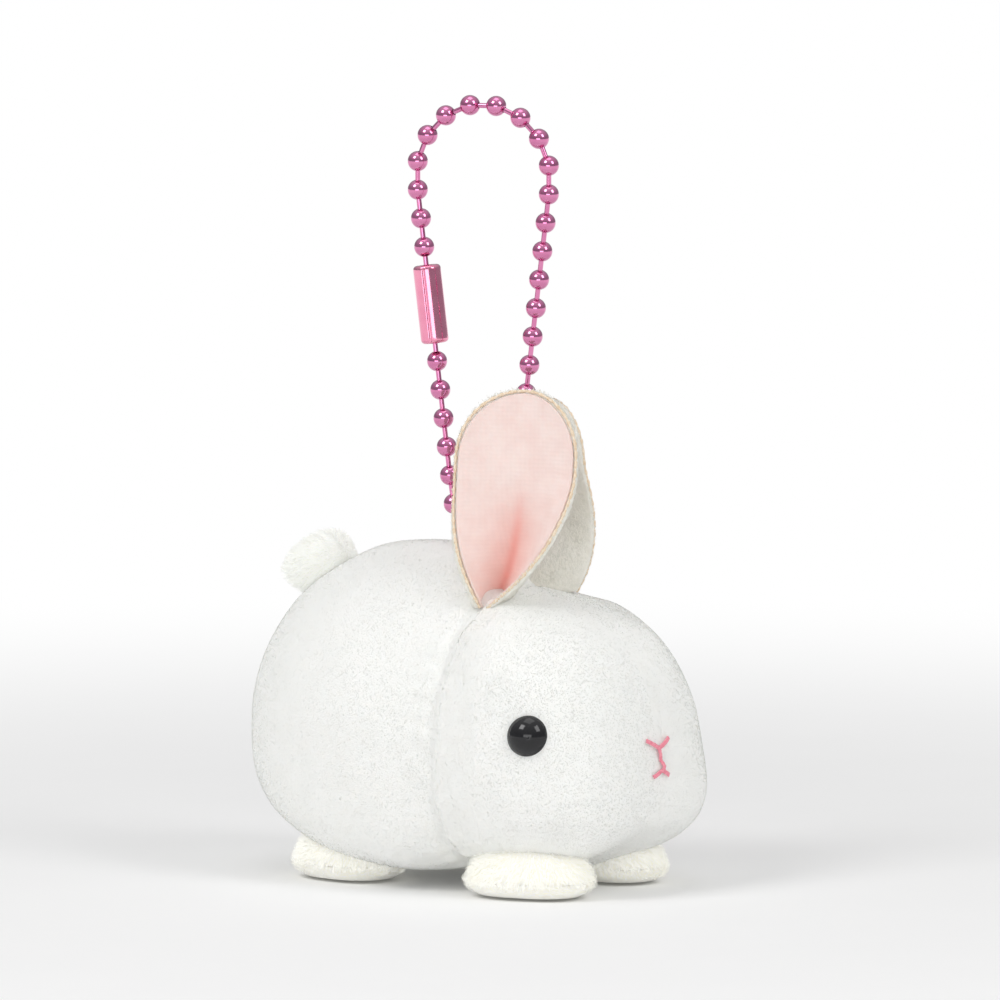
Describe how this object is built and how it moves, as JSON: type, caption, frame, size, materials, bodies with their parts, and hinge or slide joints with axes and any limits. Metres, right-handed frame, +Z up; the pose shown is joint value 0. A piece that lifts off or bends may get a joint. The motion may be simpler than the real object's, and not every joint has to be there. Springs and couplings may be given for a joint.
{
  "type": "plush keychain",
  "caption": "Small stuffed sitting rabbit with bead eyes, stitched nose, lined ears and a puff tail, on a closed loop of pink ball chain with a sleeve connector",
  "frame": {"origin": "on the floor below the middle of the plush, between its feet", "axes": "+Z up, the nose points to -Y, the right side of the rabbit is -X"},
  "size_m": [0.0386, 0.0564, 0.0928],
  "materials": {
    "plush": "short white plush pile",
    "foot_plush": "longer warm white pile",
    "ear_cloth": "short cream pile",
    "ear_lining": "smooth pale pink knit",
    "stuffing": "loose polyester fibre",
    "eye": "polished black",
    "washer": "moulded natural white",
    "pink_thread": "satin embroidery thread",
    "loop_thread": "twisted white cord",
    "pink_metal": "metallic pink plating"
  },
  "bodies": {
    "plush": {"torso_cover": "plush", "head_cover": "plush", "torso_stuffing": "stuffing", "head_stuffing": "stuffing", "eye_right": "eye", "eye_left": "eye", "eye_washer_right": "washer", "eye_washer_left": "washer", "nose_embroidery": "pink_thread", "loop_knot": "loop_thread", "feet_stuffing": "stuffing", "front_foot_right_upper": "foot_plush", "front_foot_right_sole": "foot_plush", "front_foot_left_upper": "foot_plush", "front_foot_left_sole": "foot_plush", "rear_foot_right_upper": "foot_plush", "rear_foot_right_sole": "foot_plush", "rear_foot_left_upper": "foot_plush", "rear_foot_left_sole": "foot_plush"},
    "ear_right": {"ear_back_right": "ear_cloth", "ear_lining_right": "ear_lining"},
    "ear_left": {"ear_back_left": "ear_cloth", "ear_lining_left": "ear_lining"},
    "tail": {"tail_cover": "plush", "tail_stuffing": "stuffing"},
    "hang_loop": {"hang_loop": "loop_thread"},
    "chain_01": {"chain_beads_01": "pink_metal", "chain_pins_01": "pink_metal"},
    "chain_02": {"chain_beads_02": "pink_metal", "chain_pins_02": "pink_metal"},
    "chain_03": {"chain_beads_03": "pink_metal", "chain_pins_03": "pink_metal"},
    "chain_04": {"chain_beads_04": "pink_metal", "chain_pins_04": "pink_metal"},
    "chain_05": {"chain_beads_05": "pink_metal", "chain_pins_05": "pink_metal"},
    "chain_06": {"chain_beads_06": "pink_metal", "chain_pins_06": "pink_metal"},
    "chain_07": {"chain_beads_07": "pink_metal", "chain_pins_07": "pink_metal"},
    "chain_08": {"chain_beads_08": "pink_metal", "chain_pins_08": "pink_metal"},
    "chain_09": {"chain_beads_09": "pink_metal", "chain_pins_09": "pink_metal"},
    "chain_10": {"chain_beads_10": "pink_metal", "chain_pins_10": "pink_metal"},
    "chain_11": {"chain_beads_11": "pink_metal", "chain_pins_11": "pink_metal"},
    "chain_12": {"chain_beads_12": "pink_metal", "chain_pins_12": "pink_metal"},
    "chain_13": {"chain_beads_13": "pink_metal", "chain_pins_13": "pink_metal"},
    "chain_14": {"chain_beads_14": "pink_metal", "chain_pins_14": "pink_metal"},
    "chain_15": {"chain_beads_15": "pink_metal", "chain_pins_15": "pink_metal"},
    "connector": {"connector_sleeve": "pink_metal"}
  },
  "joints": [
    {"name": "ear_right_flop", "type": "hinge", "parent": "plush", "child": "ear_right", "pos_m": [-0.0052, -0.01125, 0.038], "axis": [0.4226, -0.9063, 0], "range_deg": [-3, 70], "stiffness_Nm_per_rad": 0.002},
    {"name": "ear_left_flop", "type": "hinge", "parent": "plush", "child": "ear_left", "pos_m": [0.0052, -0.01125, 0.038], "axis": [0.4226, 0.9063, 0], "range_deg": [0, 70], "stiffness_Nm_per_rad": 0.002},
    {"name": "tail_rock", "type": "hinge", "parent": "plush", "child": "tail", "pos_m": [0, 0.01962, 0.03519], "axis": [1, 0, 0], "range_deg": [-12, 12], "stiffness_Nm_per_rad": 0.002},
    {"name": "loop_tilt", "type": "hinge", "parent": "plush", "child": "hang_loop", "pos_m": [0, -0.00205, 0.03985], "axis": [-0.9703, -0.2419, 0], "range_deg": [-2, 25]},
    {"name": "chain_lean", "type": "hinge", "parent": "hang_loop", "child": "chain_01", "pos_m": [0, -0.00205, 0.0419], "axis": [0.2419, -0.9703, 0], "range_deg": [-2, 12]},
    {"name": "chain_fold_01", "type": "hinge", "parent": "chain_01", "child": "chain_02", "pos_m": [0, -0.00205, 0.04272], "axis": [-0.2419, 0.9703, 0], "range_deg": [-10, 3]},
    {"name": "chain_fold_02", "type": "hinge", "parent": "chain_02", "child": "chain_03", "pos_m": [0, -0.00205, 0.04546], "axis": [0.2419, -0.9703, 0], "range_deg": [-3, 10]},
    {"name": "chain_fold_03", "type": "hinge", "parent": "chain_03", "child": "chain_04", "pos_m": [0, -0.00205, 0.04882], "axis": [-0.2419, 0.9703, 0], "range_deg": [-10, 3]},
    {"name": "chain_fold_04", "type": "hinge", "parent": "chain_04", "child": "chain_05", "pos_m": [0, -0.00205, 0.05219], "axis": [0.2419, -0.9703, 0], "range_deg": [-3, 10]},
    {"name": "chain_fold_05", "type": "hinge", "parent": "chain_05", "child": "chain_06", "pos_m": [0, -0.00205, 0.05556], "axis": [0.2419, -0.9703, 0], "range_deg": [-15, 15]},
    {"name": "chain_fold_06", "type": "hinge", "parent": "chain_06", "child": "chain_07", "pos_m": [0, -0.00205, 0.05893], "axis": [0.2419, -0.9703, 0], "range_deg": [-15, 15]},
    {"name": "chain_fold_07", "type": "hinge", "parent": "chain_07", "child": "chain_08", "pos_m": [0, -0.00205, 0.0623], "axis": [-0.2419, 0.9703, 0], "range_deg": [-15, 15]},
    {"name": "chain_fold_08", "type": "hinge", "parent": "chain_08", "child": "chain_09", "pos_m": [0, -0.00205, 0.07241], "axis": [-0.2419, 0.9703, 0], "range_deg": [-15, 15]},
    {"name": "chain_fold_09", "type": "hinge", "parent": "chain_09", "child": "chain_10", "pos_m": [0, -0.00205, 0.07578], "axis": [-0.2419, 0.9703, 0], "range_deg": [-15, 15]},
    {"name": "chain_fold_10", "type": "hinge", "parent": "chain_10", "child": "chain_11", "pos_m": [0, -0.00205, 0.07915], "axis": [-0.2419, 0.9703, 0], "range_deg": [-15, 15]},
    {"name": "chain_fold_11", "type": "hinge", "parent": "chain_11", "child": "chain_12", "pos_m": [0, -0.00205, 0.08253], "axis": [0.2419, -0.9703, 0], "range_deg": [-15, 15]},
    {"name": "chain_fold_12", "type": "hinge", "parent": "chain_12", "child": "chain_13", "pos_m": [0, -0.00205, 0.08582], "axis": [0.2419, -0.9703, 0], "range_deg": [-15, 15]},
    {"name": "chain_fold_13", "type": "hinge", "parent": "chain_13", "child": "chain_14", "pos_m": [0, -0.00205, 0.08871], "axis": [0.2419, -0.9703, 0], "range_deg": [-15, 15]},
    {"name": "chain_fold_14", "type": "hinge", "parent": "chain_14", "child": "chain_15", "pos_m": [0, -0.00205, 0.09076], "axis": [0.2419, -0.9703, 0], "range_deg": [-15, 15]},
    {"name": "connector_spin", "type": "hinge", "parent": "chain_08", "child": "connector", "pos_m": [-0.00164, 0.00454, 0.06796], "axis": [-0.0296, 0.1185, 0.9925], "continuous": true}
  ]
}
